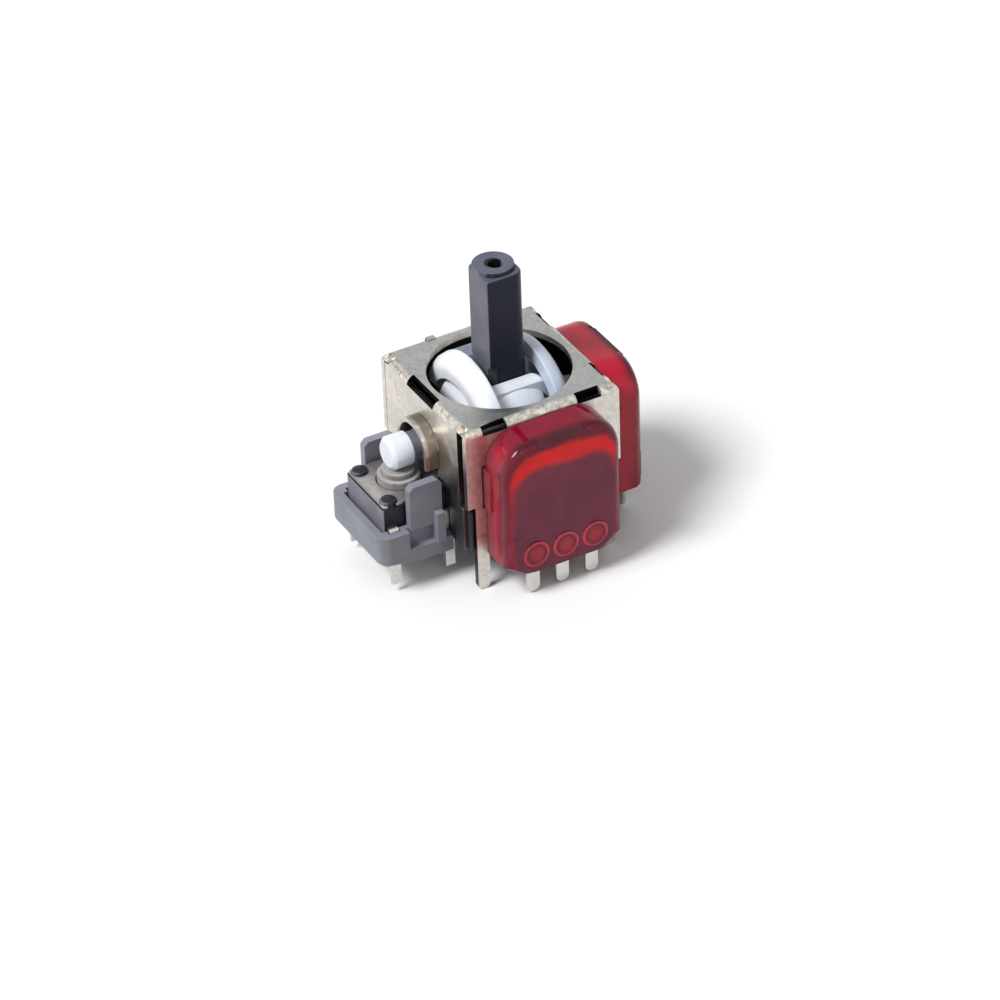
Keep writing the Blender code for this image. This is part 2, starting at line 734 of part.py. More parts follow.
def build_centring():
    """The coil spring in the lever's foot and the plunger that it presses on the floor."""
    room = foot_radius - foot_wall
    flange_radius = room - fit_gap
    flange_top = pivot_height - foot_start - foot_length + flange_thick
    flange_low = pivot_height - foot_start - foot_length
    tip = floor_height + 2 * seam_gap
    reach = pivot_height - tip
    dish = []
    for i in range(5):
        radius = plunger_flat + (flange_radius - plunger_flat) * i / 4
        drop = math.sqrt(reach**2 + plunger_flat**2 - radius**2)
        dish.append((radius, pivot_height - drop + 0.5 * i * fit_gap))
    stem_top = flange_top + stem_length
    profile = [(0, stem_top), (stem_radius, stem_top), (stem_radius, flange_top)]
    profile += [(flange_radius, flange_top), (flange_radius, flange_low)]
    profile += dish[::-1] + [(0, dish[0][1])]
    plunger = turned("centring_plunger", profile, (0, 0, 0), parts, 32)
    paint(plunger, (0.75, 0.76, 0.78), 0.4)

    low = flange_top + spring_wire + seam_gap
    high = pivot_height - foot_start - foot_wall - spring_wire - seam_gap
    coil_radius = flange_radius - spring_wire - seam_gap
    steps = 14 * spring_turns
    curve = bpy.data.curves.new("centring_spring", "CURVE")
    curve.dimensions = "3D"
    curve.bevel_depth = spring_wire
    curve.bevel_resolution = 1
    curve.use_fill_caps = True
    spline = curve.splines.new("POLY")
    spline.points.add(steps)
    for i, point in enumerate(spline.points):
        angle = 2 * math.pi * spring_turns * i / steps
        height = low + (high - low) * i / steps
        point.co = (coil_radius * math.cos(angle), coil_radius * math.sin(angle), height, 1)
    spring = bpy.data.objects.new("centring_spring", curve)
    parts.objects.link(spring)
    paint(spring, (0.65, 0.65, 0.66), 0.3, 1.0)
    return plunger, spring


# The sensor units

def facing(side):
    """Places a piece made in front of the wall (-Y) on the front or on the right side of the frame."""
    if side == "front":
        return Matrix.Translation((0, -half_depth, 0))
    return Matrix.Translation((half_width, 0, 0)) @ Matrix.Rotation(math.radians(90), 4, "Z")


def place(obj, side):
    """Moves a piece and its helpers to its side. Made for the front, with the wall's outer face at y = 0."""
    matrix = facing(side)
    obj.data.transform(matrix)
    for modifier in obj.modifiers:
        if modifier.type == "BOOLEAN":
            place(modifier.object, side)
    return obj


def cover_outline(inset, crown, foot):
    """The cover's face in (x, z), drawn that far inside its sides and its top."""
    half = cover_half - inset
    top = cover_top - crown
    corner = cover_corner - inset
    points = [(half - cover_chamfer_across + inset, foot), (half, foot + cover_chamfer_up)]
    points += arc((half - corner, top - corner), corner, 0, 90, 8)
    return mirrored(points)


def build_cover(side):
    depth = -cover_depth
    cover = slab("cover_" + side, cover_outline(0, 0, cover_foot), "Y", depth, -seam_gap, parts)
    round_edges(cover, cover_edge, 3, lambda a, b: (
        near(a.y, depth) and near(b.y, depth) and not (near(a.z, cover_foot) and near(b.z, cover_foot))
    ))
    notch = (-cover_notch_half, cover_notch_half)
    join(cover, block("top_notch", notch, (depth, depth + cover_edge), (cover_top - cover_edge, cover_top)))
    inside = cover_outline(cover_wall, cover_crown, cover_foot + cover_wall)
    cut(cover, slab("sensor_room", inside, "Y", depth + cover_wall, sheet))
    for i in (-1, 0, 1):
        middle = i * terminal_pitch
        span = (middle - terminal_width / 2 - fit_gap, middle + terminal_width / 2 + fit_gap)
        cut(cover, block("terminal_slot", span, (depth + cover_wall, sheet), (-sheet, cover_foot + 2 * cover_wall)))
    low = frame_height - hook_drop - hook_height
    for sign in (-1, 1):
        span = sorted((sign * (cover_half - fit_gap), sign * (cover_half - fit_gap + hook_width)))
        join(cover, block("hook", span, (-cover_wall, sheet + fit_gap), (low, low + hook_height)))
        rib = sorted((sign * (cover_half - cover_wall), sign * (cover_half - fit_gap + hook_width)))
        join(cover, block("hook_rib", rib, (-2 * cover_wall, -seam_gap), (low, low + hook_height)))
    for i in (-1, 0, 1):
        middle = (i * terminal_pitch, 0, cover_foot + pin_boss_height)
        join(cover, rod("pin_boss", "Y", middle, pin_boss_radius, depth - fit_gap, depth + cover_wall / 2, sides=28))
        cut(cover, rod("boss_ring", "Y", middle, pin_boss_ring, depth - sheet, depth - seam_gap, sides=24))
    span = (-side_boss_near - side_boss_length, -side_boss_near)
    join(cover, block(
        "side_boss", span, (depth - seam_gap, depth + cover_wall / 2),
        (side_boss_foot, side_boss_foot + side_boss_height),
    ))
    place(cover, side)
    return paint(cover, (0.70, 0.05, 0.07), 0.3)


def build_rotor(side):
    back = -fit_gap - sheet / 10
    front = back - rotor_thick
    rotor = rod("rotor_" + side, "Y", (0, 0, pivot_height), rotor_radius, front, back, parts)
    slot_half = blade_half + fit_gap
    slot_high = journal_radius - fit_gap
    slot = block(
        "blade_slot", (-slot_half, slot_half), (-blade_length - fit_gap, sheet),
        (pivot_height - slot_high, pivot_height + slot_high),
    )
    seat = rod(
        "magnet_seat", "Y", (0, 0, pivot_height), magnet_radius + seam_gap, front - sheet, front + magnet_thick - fit_gap
    )
    cut(rotor, slot, seat)
    place(rotor, side)
    return paint(rotor, (0.12, 0.12, 0.13), 0.5)


def build_magnet(side):
    seat = -fit_gap - sheet / 10 - rotor_thick + magnet_thick - fit_gap - seam_gap
    magnet = rod(
        "magnet_" + side, "Y", (0, 0, pivot_height), magnet_radius, seat - magnet_thick, seat, parts, sides=32
    )
    place(magnet, side)
    return paint(magnet, (0.35, 0.35, 0.37), 0.35, 1.0)


def build_board(side):
    front = -terminal_plane + seam_gap
    low = cover_foot + cover_wall + fit_gap
    outline = [(board_half - cover_chamfer_across, low), (board_half, low + cover_chamfer_up)]
    board_top = pivot_height + board_rise
    outline += arc((board_half - board_corner, board_top - board_corner), board_corner, 0, 90, 6)
    board = slab("sensor_board_" + side, mirrored(outline), "Y", front, front + board_thick, parts)
    place(board, side)
    return paint(board, (0.10, 0.22, 0.12), 0.5)


def build_terminal(side, number):
    tip = -terminal_reach + terminal_width / 2
    middle = (number - 2) * terminal_pitch
    half = [(terminal_width / 2, terminal_root)] + arc((0, tip), terminal_width / 2, 0, -90, 8)[:-1]
    outline = [(across + middle, up) for across, up in mirrored(half)]
    back = -terminal_plane
    terminal = slab(f"terminal_{side}_{number}", outline, "Y", back - terminal_thick, back, parts)
    place(terminal, side)
    return paint(terminal, (0.62, 0.62, 0.62), 0.35, 1.0)


# The push switch

def build_switch_case():
    x = (case_left, case_right)
    case = block("switch_case", x, (-case_half_y, case_half_y), (case_foot, case_top), parts)
    round_edges(case, case_corner, 2, lambda a, b: near(a.x, b.x) and near(a.y, b.y))
    well_low = plate_top - button_sink - button_depth
    cut(case, rod(
        "button_well", "Z", (-switch_centre, 0, 0), button_radius + fit_gap, well_low, case_top + sheet
    ))
    for sx in (-1, 1):
        for sy in (-1, 1):
            centre = (-switch_centre + sx * post_x, sy * post_y, 0)
            top = case_top + post_height
            dome = [(post_radius * math.cos(a), top - post_radius * 0.4 * (1 - math.sin(a)))
                    for a in (math.radians(d) for d in (90, 60, 30, 0))]
            dome[0] = (0, top)
            post = turned("post", dome + [(post_radius, case_top - sheet), (0, case_top - sheet)], centre, None, 20)
            join(case, post)
            pin_x = -switch_centre + sx * solder_pin_x
            half = solder_pin_width / 2 + seam_gap
            y = sorted((sy * (case_half_y - sheet), sy * (case_half_y + sheet)))
            z = (solder_pin_bend - solder_pin_thick - seam_gap, solder_pin_bend + seam_gap)
            cut(case, block("pin_socket", (pin_x - half, pin_x + half), y, z))
    return paint(case, (0.10, 0.11, 0.14), 0.5)


def build_switch_plate():
    low = case_top + seam_gap
    inset = fit_gap
    plate = block(
        "switch_plate", (case_left + inset, case_right - inset), (-case_half_y + inset, case_half_y - inset),
        (low, low + plate_thick), parts,
    )
    round_edges(plate, case_corner, 2, lambda a, b: near(a.x, b.x) and near(a.y, b.y))
    up = (low - sheet, low + plate_thick + sheet)
    cut(plate, rod("button_hole", "Z", (-switch_centre, 0, 0), button_radius + fit_gap, *up))
    for sx in (-1, 1):
        for sy in (-1, 1):
            centre = (-switch_centre + sx * post_x, sy * post_y, 0)
            cut(plate, rod("post_hole", "Z", centre, post_radius + seam_gap, *up, sides=20))
    return paint(plate, (0.55, 0.53, 0.50), 0.35, 1.0)


def build_switch_plunger():
    step = plate_top + button_rise
    profile = [
        (0, button_top), (button_step_radius - fit_gap, button_top), (button_step_radius, button_top - fit_gap),
        (button_step_radius, step), (button_radius - fit_gap, step), (button_radius, step - fit_gap),
        (button_radius, plate_top - button_sink), (0, plate_top - button_sink),
    ]
    plunger = turned("switch_plunger", profile, (-switch_centre, 0, 0), parts)
    return paint(plunger, (0.58, 0.55, 0.53), 0.5)


def build_switch_dome():
    """A snap dome, drawn as a thin turned shell."""
    top = plate_top - button_sink - seam_gap
    radius = button_radius - fit_gap
    outer = [(radius * i / 6, top - dome_rise * (i / 6) ** 2) for i in range(7)]
    inner = [(r, z - dome_thick) for r, z in outer]
    dome = turned("switch_dome", outer + inner[::-1], (-switch_centre, 0, 0), parts, 28)
    return paint(dome, (0.70, 0.69, 0.66), 0.3, 1.0)


def build_solder_pin(number, sx, sy):
    """A switch terminal that leaves the case sideways and bends down."""
    thick = solder_pin_thick
    outer = case_half_y + solder_pin_out
    root = case_half_y - sheet + seam_gap
    bend = thick * 1.2
    points = [(root, solder_pin_bend)]
    points += arc((outer - bend, solder_pin_bend - bend), bend, 90, 0, 5)
    points += [(outer, -solder_pin_reach), (outer - thick, -solder_pin_reach)]
    points += [(outer - thick, solder_pin_bend - thick), (root, solder_pin_bend - thick)]
    points = [(sy * across, up) for across, up in points]
    middle = -switch_centre + sx * solder_pin_x
    pin = slab(
        f"switch_terminal_{number}", points, "X", middle - solder_pin_width / 2, middle + solder_pin_width / 2, parts
    )
    return paint(pin, (0.68, 0.68, 0.69), 0.35, 1.0)


def build_bracket():
    """The tray that holds the switch, with a tab and a post each side and slots for the switch's terminals."""
    pocket_y = case_half_y + solder_pin_out + fit_gap
    pocket_x = case_left - bracket_gap
    outer_x = pocket_x - bracket_wall
    outer_y = pocket_y + bracket_wall
    wall_x = -half_width - fit_gap
    low = case_foot - fit_gap - bracket_floor
    bracket = block("switch_bracket", (outer_x, wall_x), (-outer_y, outer_y), (low, bracket_top), parts)
    round_edges(bracket, bracket_corner, 4, lambda a, b: (
        near(a.x, outer_x) and near(b.x, outer_x) and near(a.y, b.y)
    ))
    round_edges(bracket, bracket_draft, 1, lambda a, b: (
        near(a.z, low) and near(b.z, low) and max(a.x, b.x) < wall_x - bracket_tab_length
    ))
    post_x = sorted(wall_x - bracket_post_near - end * bracket_post_width for end in (0, 1))
    for side in (-1, 1):
        beyond = sorted((side * pocket_y, side * half_depth))
        recess = (wall_x - bracket_recess_far, post_x[0])
        cut(bracket, block("recess", recess, beyond, (bracket_recess_foot, frame_height)))
        cut(bracket, block("post_side", (post_x[1], wall_x + sheet), beyond, (bracket_recess_foot, frame_height)))
        post_y = sorted((side * (pocket_y - fit_gap), side * (outer_y + bracket_post_out)))
        join(bracket, block("post", post_x, post_y, (bracket_recess_foot - fit_gap, bracket_post_top)))
    tongue_y = switch_opening - fit_gap
    tongue = block("tray_tongue", (wall_x - fit_gap, case_right), (-tongue_y, tongue_y), (low, low + bracket_floor))
    join(bracket, tongue)
    tab_x = (wall_x - bracket_tab_near - bracket_tab_length, wall_x - bracket_tab_near)
    tab_in = case_half_y + 2 * fit_gap
    c = bracket_tab_corner
    points = [
        (tab_x[0], bracket_tab_foot), (tab_x[1], bracket_tab_foot), (tab_x[1], bracket_tab_top - c),
        (tab_x[1] - c, bracket_tab_top), (tab_x[0] + c, bracket_tab_top), (tab_x[0], bracket_tab_top - c),
    ]
    for side in (-1, 1):
        span = sorted((side * tab_in, side * (tab_in + bracket_tab_thick)))
        join(bracket, slab("tab", points, "Y", *span))
    cut(bracket, block("tray", (pocket_x, 0), (-case_half_y - fit_gap, case_half_y + fit_gap), (
        low + bracket_floor, frame_height)))
    for sx in (-1, 1):
        middle = -switch_centre + sx * solder_pin_x
        half = solder_pin_width / 2 + fit_gap
        for sy in (-1, 1):
            y = sorted((sy * (case_half_y - fit_gap), sy * pocket_y))
            cut(bracket, block("terminal_slot", (middle - half, middle + half), y, (low - sheet, frame_height)))
    return paint(bracket, (0.50, 0.52, 0.58), 0.55)


def main():
    frame = build_frame()
    base = build_base()
    upper_arm = build_upper_arm()
    lower_arm = build_lower_arm()
    lever = build_lever()
    pin = build_lever_pin()
    plunger, spring = build_centring()
    rotors = {}
    for side in ("front", "right"):
        build_cover(side)
        rotors[side] = (build_rotor(side), build_magnet(side))
        build_board(side)
        for number in (1, 2, 3):
            build_terminal(side, number)
    build_switch_case()
    build_switch_plate()
    button = build_switch_plunger()
    build_switch_dome()
    number = 0
    for sx in (-1, 1):
        for sy in (-1, 1):
            number += 1
            build_solder_pin(number, sx, sy)
    build_bracket()

    pivot = (0, 0, pivot_height)
    right_axis = joint_empty("tilt_y_axis", pivot)
    press_axis = joint_empty("press_axis", ((half_width + inner_width) / 2, 0, pivot_height), right_axis)
    lever_axis = joint_empty("tilt_x_axis", pivot, press_axis)
    plunger_axis = joint_empty("centring_axis", pivot, lever_axis)
    upper_axis = joint_empty("upper_arm_axis", pivot)
    button_axis = joint_empty("button_axis", (-switch_centre, 0, plate_top))
    carry(right_axis, *rotors["right"])
    carry(press_axis, lower_arm, pin)
    carry(lever_axis, lever, spring)
    carry(plunger_axis, plunger)
    carry(upper_axis, upper_arm, *rotors["front"])
    carry(button_axis, button)


clear_scene()
parts = new_collection("analog_stick")
helpers = new_collection("cutters")
helpers.hide_render = True
main()
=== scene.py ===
import json
import math
import bpy
from mathutils import Matrix, Vector


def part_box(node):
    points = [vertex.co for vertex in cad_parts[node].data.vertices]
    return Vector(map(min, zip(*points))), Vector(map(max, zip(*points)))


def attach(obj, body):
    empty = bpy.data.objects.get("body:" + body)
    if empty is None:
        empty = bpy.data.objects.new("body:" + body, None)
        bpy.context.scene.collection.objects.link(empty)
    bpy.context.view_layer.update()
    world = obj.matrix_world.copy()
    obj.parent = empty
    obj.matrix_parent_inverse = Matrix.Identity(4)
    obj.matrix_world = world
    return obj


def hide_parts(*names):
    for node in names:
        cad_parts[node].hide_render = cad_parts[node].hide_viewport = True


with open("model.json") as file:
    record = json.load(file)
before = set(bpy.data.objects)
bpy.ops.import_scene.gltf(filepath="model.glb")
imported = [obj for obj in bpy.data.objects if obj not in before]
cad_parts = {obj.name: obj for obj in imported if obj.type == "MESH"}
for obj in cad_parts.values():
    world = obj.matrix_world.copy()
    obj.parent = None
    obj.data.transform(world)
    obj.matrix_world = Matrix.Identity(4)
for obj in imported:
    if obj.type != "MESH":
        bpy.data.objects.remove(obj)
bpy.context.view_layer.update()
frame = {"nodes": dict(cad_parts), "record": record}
nodes = frame["nodes"]
mm = 0.001
mergeReach = 1e-7
flatAngle = 0.5  # degrees up to which neighbouring faces are one flat face
sharpAngle = 32  # degrees from which an edge gets a fine rounding
normalWeight = 80  # how much a large face outweighs a small one in a shared normal

# Where things stand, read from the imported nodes
frameLow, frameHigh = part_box("frame")
lugRise = 0.25 * mm
frameTop = frameHigh.z - lugRise  # the sheet's top, below the small lug on its back edge


# Small helpers for selecting, finishing and materials

def deselectAll():
    bpy.ops.object.select_all(action="DESELECT")


def makeActive(piece):
    deselectAll()
    piece.select_set(True)
    bpy.context.view_layer.objects.active = piece


def applyModifier(piece, name):
    makeActive(piece)
    bpy.ops.object.modifier_apply(modifier=name)


def copyNode(nodeName, pieceName):
    # The node's own mesh under a new name, with the triangles of each flat face joined
    source = nodes[nodeName]
    piece = bpy.data.objects.new(pieceName, source.data.copy())
    bpy.context.scene.collection.objects.link(piece)
    makeActive(piece)
    bpy.ops.object.mode_set(mode="EDIT")
    bpy.ops.mesh.select_all(action="SELECT")
    bpy.ops.mesh.remove_doubles(threshold=mergeReach)
    bpy.ops.mesh.dissolve_limited(angle_limit=math.radians(flatAngle))
    bpy.ops.object.mode_set(mode="OBJECT")
    return piece


def softenEdges(piece, width, edgeSlot):
    bevel = piece.modifiers.new("edges", "BEVEL")
    bevel.width = width
    bevel.segments = 2
    bevel.limit_method = "ANGLE"
    bevel.angle_limit = math.radians(sharpAngle)
    bevel.use_clamp_overlap = True
    bevel.material = edgeSlot
    bevel.miter_outer = "MITER_ARC"
    bevel.harden_normals = True
    applyModifier(piece, "edges")


def shadeByAngle(piece):
    makeActive(piece)
    bpy.ops.object.shade_smooth_by_angle(angle=math.radians(sharpAngle))


def evenNormals(piece):
    # Large flat faces keep their own normal beside small rounded ones
    weighted = piece.modifiers.new("normals", "WEIGHTED_NORMAL")
    weighted.keep_sharp = True
    weighted.weight = normalWeight
    applyModifier(piece, "normals")


def setMaterials(piece, *materials):
    piece.data.materials.clear()
    for material in materials:
        piece.data.materials.append(material)


def addNode(tree, kind, **values):
    node = tree.nodes.new(kind)
    for key, value in values.items():
        setattr(node, key, value)
    return node


noiseKinds = {
    "cloud": (5, 0.62), "softCloud": (4, 0.55), "thinCloud": (3, 0.5), "speck": (6, 0.7), "blotch": (4, 0.6),
    "fold": (5, 0.7), "swirl": (3, 0.55), "ripple": (2, 0.5),
}


def noiseOf(tree, scale, kind):
    detail, roughness = noiseKinds[kind]
    place = addNode(tree, "ShaderNodeTexCoord")
    noise = addNode(tree, "ShaderNodeTexNoise")
    noise.inputs["Scale"].default_value = scale
    noise.inputs["Detail"].default_value = detail
    noise.inputs["Roughness"].default_value = roughness
    tree.links.new(place.outputs["Object"], noise.inputs["Vector"])
    return noise.outputs["Fac"]


def rampOf(tree, source, stops):
    ramp = addNode(tree, "ShaderNodeValToRGB")
    elements = ramp.color_ramp.elements
    while len(elements) < len(stops):
        elements.new(0.5)
    for element, (position, colour) in zip(elements, stops):
        element.position = position
        element.color = (*colour, 1)
    tree.links.new(source, ramp.inputs["Fac"])
    return ramp.outputs["Color"]


def linkOrSet(tree, socket, value):
    if isinstance(value, bpy.types.NodeSocket):
        tree.links.new(value, socket)
    elif isinstance(value, tuple):
        socket.default_value = (*value, 1)
    else:
        socket.default_value = value


def mixColours(tree, factor, first, second, mode="MIX"):
    # Of a mix node's many sockets, these are the factor, the two colours and the mixed colour
    factorAt, firstAt, secondAt, resultAt = 0, 6, 7, 2
    mix = addNode(tree, "ShaderNodeMix", data_type="RGBA", blend_type=mode)
    for place, value in ((factorAt, factor), (firstAt, first), (secondAt, second)):
        linkOrSet(tree, mix.inputs[place], value)
    return mix.outputs[resultAt]


def bumpOf(tree, height, strength, distance):
    bump = addNode(tree, "ShaderNodeBump")
    bump.inputs["Strength"].default_value = strength
    bump.inputs["Distance"].default_value = distance
    tree.links.new(height, bump.inputs["Height"])
    return bump.outputs["Normal"]


def newMaterial(name, roughness=0.5, metallic=0.0):
    material = bpy.data.materials.new(name)
    material.use_nodes = True
    shader = material.node_tree.nodes["Principled BSDF"]
    shader.inputs["Roughness"].default_value = roughness
    shader.inputs["Metallic"].default_value = metallic
    return material, material.node_tree, shader


# Arithmetic in the materials

def mathOf(tree, operation, first, second=0.0):
    node = addNode(tree, "ShaderNodeMath", operation=operation)
    linkOrSet(tree, node.inputs[0], first)
    linkOrSet(tree, node.inputs[1], second)
    return node.outputs[0]


def productOf(tree, first, *others):
    for other in others:
        first = mathOf(tree, "MULTIPLY", first, other)
    return first


def largestOf(tree, first, *others):
    for other in others:
        first = mathOf(tree, "MAXIMUM", first, other)
    return first


def stepOf(tree, value, low, high):
    # 0 at low and 1 at high, and smooth between; low may be the larger one
    ramp = addNode(tree, "ShaderNodeMapRange", interpolation_type="SMOOTHSTEP")
    tree.links.new(value, ramp.inputs["Value"])
    ramp.inputs["From Min"].default_value = low
    ramp.inputs["From Max"].default_value = high
    return ramp.outputs["Result"]


def splitOf(tree, output):
    place = addNode(tree, "ShaderNodeTexCoord")
    split = addNode(tree, "ShaderNodeSeparateXYZ")
    tree.links.new(place.outputs[output], split.inputs["Vector"])
    return split.outputs["X"], split.outputs["Y"], split.outputs["Z"]


def distanceTo(tree, centre):
    place = addNode(tree, "ShaderNodeTexCoord")
    apart = addNode(tree, "ShaderNodeVectorMath", operation="DISTANCE")
    tree.links.new(place.outputs["Object"], apart.inputs[0])
    apart.inputs[1].default_value = centre
    return apart.outputs["Value"]


def lengthOf(tree, across, up):
    both = addNode(tree, "ShaderNodeCombineXYZ")
    tree.links.new(across, both.inputs["X"])
    tree.links.new(up, both.inputs["Y"])
    length = addNode(tree, "ShaderNodeVectorMath", operation="LENGTH")
    tree.links.new(both.outputs["Vector"], length.inputs[0])
    return length.outputs["Value"]


def archDistance(tree, across, up, half, top, corner):
    # How far a point is outside an arch with round shoulders; negative inside
    out = mathOf(tree, "SUBTRACT", mathOf(tree, "ABSOLUTE", across), half - corner)
    above = mathOf(tree, "SUBTRACT", up, top - corner)
    length = lengthOf(tree, mathOf(tree, "MAXIMUM", out, 0.0), mathOf(tree, "MAXIMUM", above, 0.0))
    inner = mathOf(tree, "MINIMUM", mathOf(tree, "MAXIMUM", out, above), 0.0)
    return mathOf(tree, "SUBTRACT", mathOf(tree, "ADD", length, inner), corner)


def greyOf(value):
    return (value, value, value)


# Materials: pairs of numbers are where a fade starts and where it ends

patterns = {
    "spread": (0.3, 0.7), "cloudSpread": (0.36, 0.64), "speckSpread": (0.32, 0.58), "sideTurn": (0.35, 0.9),
    "flatTurn": (0.6, 0.95), "crownTurn": (0.5, 0.9), "foldFrom": (0.1, 0.3), "foldTo": (0.97, 0.85),
    "steelGrain": 0.02 * mm, "plasticGrain": 0.01 * mm, "plainSheen": 0.5, "redIndex": 1.5,
    "scatterRadius": (0.9, 0.9, 1.0), "scatterScale": 0.4 * mm, "steelUneven": 3, "plasticUneven": 2.5,
}


def cloudsOf(tree, noise, low, high, spread=patterns["spread"]):
    return rampOf(tree, noise, ((spread[0], low), (spread[1], high)))


def unevenOf(tree, scale, look):
    # Roughness that wanders between two values
    return cloudsOf(tree, noiseOf(tree, scale, "cloud"), greyOf(look["smooth"]), greyOf(look["rough"]))


def tinted(tree, share, colour, tint):
    # The colour times the tint, by the given share
    return mixColours(tree, share, colour, mixColours(tree, 1.0, colour, tint, "MULTIPLY"))


def paintedSideLight(tree, look, colour):
    # Painted light and shade: the sides that face along each listed axis are darkened by their own tone
    facing = dict(zip("XYZ", splitOf(tree, "Normal")))
    for axis, sign, tone in look.get("paintedSideTones", ()):
        side = stepOf(tree, mathOf(tree, "MULTIPLY", facing[axis], sign), *patterns["sideTurn"])
        colour = tinted(tree, side, colour, tone)
    return colour


def platedSteel(name, look):
    material, tree, shader = newMaterial(name, metallic=look["metallic"])
    cloudy = noiseOf(tree, look["cloudScale"], "cloud")
    cloudy = cloudsOf(tree, cloudy, greyOf(0), greyOf(1), patterns["cloudSpread"])
    colour = mixColours(tree, cloudy, look["cool"], look["warm"])
    specks = noiseOf(tree, look["speckScale"], "speck")
    speckle = cloudsOf(tree, specks, look["speckDark"], greyOf(1), patterns["speckSpread"])
    colour = mixColours(tree, look["speckMix"], colour, speckle, "MULTIPLY")
    if "paintedTopReflection" in look:
        colour = frameStainsAndPaintedLight(tree, look, colour)
    if "inside" in look:
        colour = insideShade(tree, look["inside"], colour)
    tree.links.new(colour, shader.inputs["Base Color"])
    uneven = unevenOf(tree, look["cloudScale"] * patterns["steelUneven"], look)
    tree.links.new(uneven, shader.inputs["Roughness"])
    grain = noiseOf(tree, look["bumpScale"], "blotch")
    tree.links.new(bumpOf(tree, grain, look["bump"], patterns["steelGrain"]), shader.inputs["Normal"])
    return material


def insideShade(tree, inside, colour):
    # Painted shade: the sheet's inner faces and the cut faces of its slots and seams are darkened to a dull near-black
    # tone
    x, y, z = splitOf(tree, "Object")
    facingX, facingY, facingZ = splitOf(tree, "Normal")
    wideX, wideY = mathOf(tree, "ABSOLUTE", x), mathOf(tree, "ABSOLUTE", y)
    upright = stepOf(tree, facingZ, *inside["upright"])
    cutFaces = []
    for wide, facing in ((wideX, facingX), (wideY, facingY)):
        turned = stepOf(tree, mathOf(tree, "ABSOLUTE", facing), *inside["turned"])
        cutFaces.append(productOf(tree, turned, upright, stepOf(tree, wide, *inside["skin"])))
    cutFaces.append(stepOf(tree, mathOf(tree, "MULTIPLY", facingZ, -1.0), *inside["turned"]))
    ledge = stepOf(tree, facingZ, *inside["turned"])
    underTop, withinWalls = stepOf(tree, z, *inside["below"]), stepOf(tree, wideX, *inside["walls"])
    cutFaces.append(productOf(tree, ledge, underTop, withinWalls))

    # The hole's rim, the collar, the lug and the corners keep the sheet's own colour
    reach = mathOf(tree, "MAXIMUM", wideX, wideY)
    hole = productOf(tree, stepOf(tree, reach, *inside["hole"]), stepOf(tree, z, *inside["holeRim"]))
    cornerHigh = mathOf(tree, "MAXIMUM", stepOf(tree, z, *inside["cornerTop"]), inside["seamLight"])
    cornerNear = stepOf(tree, mathOf(tree, "MINIMUM", wideX, wideY), *inside["cornerSide"])
    corner = productOf(tree, cornerHigh, cornerNear)
    collar, lug = stepOf(tree, x, *inside["collar"]), stepOf(tree, z, *inside["lug"])
    kept = mathOf(tree, "SUBTRACT", 1.0, largestOf(tree, hole, collar, corner, lug))
    return mixColours(tree, productOf(tree, largestOf(tree, *cutFaces), kept), colour, inside["tone"])


def frameStainsAndPaintedLight(tree, look, colour):
    # Painted light on the folded sheet: a darker, cooler top as a painted reflection, a pink front as painted red light
    # from the cover and a painted dark reflection low on the left wall; then a stain, a darker collar root and mottled
    # folds
    x, y, z = splitOf(tree, "Object")
    facingX, facingY, facingZ = splitOf(tree, "Normal")
    # Painted reflection: the top is made darker and cooler
    onTop = stepOf(tree, facingZ, *patterns["flatTurn"])
    colour = tinted(tree, onTop, colour, look["paintedTopReflection"])

    # Painted red light from the cover on the front wall, near the cover
    onFront = stepOf(tree, mathOf(tree, "MULTIPLY", facingY, -1.0), *patterns["flatTurn"])
    onFront = productOf(tree, onFront, stepOf(tree, x, *look["pinkSpan"]), stepOf(tree, z, *look["pinkRise"]))
    colour = tinted(tree, onFront, colour, look["paintedRedCoverLight"])

    # Painted dark reflection low on the left wall, towards the front
    onLeft = stepOf(tree, mathOf(tree, "MULTIPLY", facingX, -1.0), *patterns["flatTurn"])
    slope = mathOf(tree, "ADD", z, mathOf(tree, "MULTIPLY", y, look["duskSlope"]))
    uneven = mathOf(tree, "MULTIPLY", noiseOf(tree, look["duskScale"], "blotch"), look["duskUneven"])
    blotch = mathOf(tree, "ADD", stepOf(tree, slope, *look["duskSpan"]), uneven)
    colour = tinted(tree, productOf(tree, onLeft, stepOf(tree, blotch, *look["duskEdge"])), colour, look["duskTint"])

    # A stain beside the collar, a darker root of the collar, and bright and dark mottling on the folds
    wander = mathOf(tree, "MULTIPLY", noiseOf(tree, look["stainScale"], "blotch"), look["stainReach"])
    stain = stepOf(tree, mathOf(tree, "ADD", distanceTo(tree, look["stainPlace"]), wander), *look["stainSpan"])
    colour = mixColours(tree, productOf(tree, stain, look["stainMix"]), colour, look["stainColour"])
    root = productOf(tree, stepOf(tree, x, *look["collarRoot"]), stepOf(tree, x, *look["collarLip"]))
    colour = mixColours(tree, productOf(tree, root, look["collarMix"]), colour, look["collarTone"])
    slanting = productOf(tree, stepOf(tree, facingZ, *patterns["foldFrom"]), stepOf(tree, facingZ, *patterns["foldTo"]))
    onFold = productOf(tree, slanting, stepOf(tree, z, *look["foldSpan"]), look["foldMix"])
    foldMottle = rampOf(tree, noiseOf(tree, look["foldScale"], "fold"), look["foldStops"])
    return mixColours(tree, onFold, colour, foldMottle)


